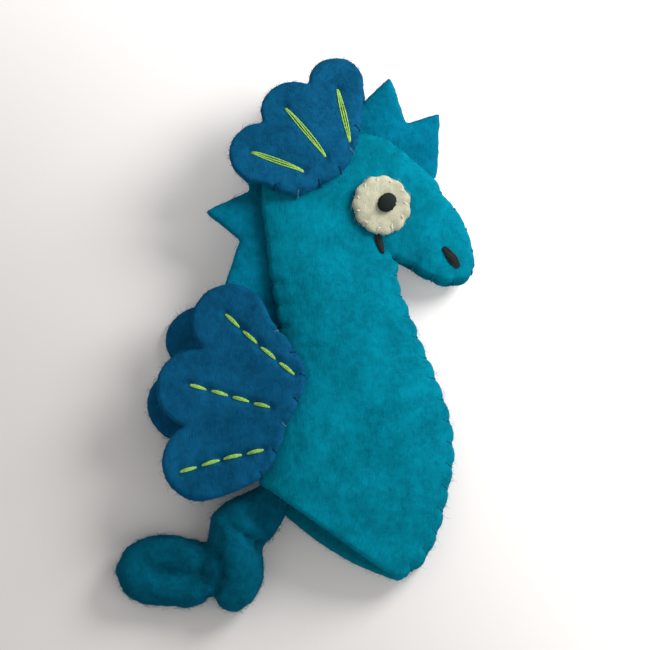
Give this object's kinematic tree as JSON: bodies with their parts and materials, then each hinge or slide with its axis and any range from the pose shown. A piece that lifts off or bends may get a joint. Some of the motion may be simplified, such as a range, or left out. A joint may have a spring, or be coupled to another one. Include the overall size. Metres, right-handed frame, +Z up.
{
  "type": "felt finger puppet",
  "caption": "Felt seahorse finger puppet with a finger pocket between sewn panels, lobed fins, a zigzag crest and a curled padded tail.",
  "frame": {"origin": "on the surface that the puppet lies on, under the middle of its box", "axes": "+Z up, from the puppet's left side to its right; +Y along it, from the tail to the top of the head; +X to its front, where the snout is"},
  "size_m": [0.0694, 0.113, 0.0193],
  "materials": {
    "turquoise_felt": "matt wool felt",
    "crest_felt": "matt wool felt",
    "blue_felt": "matt wool felt",
    "tail_felt": "matt wool felt over padding",
    "cream_felt": "matt wool felt",
    "black_thread": "cotton thread with a slight sheen",
    "lime_thread": "stranded cotton with a slight sheen"
  },
  "bodies": {
    "root": {"right_panel": "turquoise_felt", "left_panel": "turquoise_felt", "crest": "crest_felt", "right_ear_fin": "blue_felt", "left_ear_fin": "blue_felt", "right_back_fin": "blue_felt", "left_back_fin": "blue_felt", "tail": "tail_felt", "right_eye": "cream_felt", "left_eye": "cream_felt", "right_pupil": "black_thread", "left_pupil": "black_thread", "right_nostril": "black_thread", "left_nostril": "black_thread", "right_throat_stitch": "black_thread", "left_throat_stitch": "black_thread", "right_ear_stitch_1": "lime_thread", "right_ear_stitch_2": "lime_thread", "right_ear_stitch_3": "lime_thread", "left_ear_stitch_1": "lime_thread", "left_ear_stitch_2": "lime_thread", "left_ear_stitch_3": "lime_thread", "right_back_stitch_1_1": "lime_thread", "right_back_stitch_1_2": "lime_thread", "right_back_stitch_1_3": "lime_thread", "right_back_stitch_1_4": "lime_thread", "right_back_stitch_2_1": "lime_thread", "right_back_stitch_2_2": "lime_thread", "right_back_stitch_2_3": "lime_thread", "right_back_stitch_2_4": "lime_thread", "right_back_stitch_3_1": "lime_thread", "right_back_stitch_3_2": "lime_thread", "right_back_stitch_3_3": "lime_thread", "right_back_stitch_3_4": "lime_thread", "left_back_stitch_1_1": "lime_thread", "left_back_stitch_1_2": "lime_thread", "left_back_stitch_1_3": "lime_thread", "left_back_stitch_1_4": "lime_thread", "left_back_stitch_2_1": "lime_thread", "left_back_stitch_2_2": "lime_thread", "left_back_stitch_2_3": "lime_thread", "left_back_stitch_2_4": "lime_thread", "left_back_stitch_3_1": "lime_thread", "left_back_stitch_3_2": "lime_thread", "left_back_stitch_3_3": "lime_thread", "left_back_stitch_3_4": "lime_thread"}
  },
  "joints": []
}
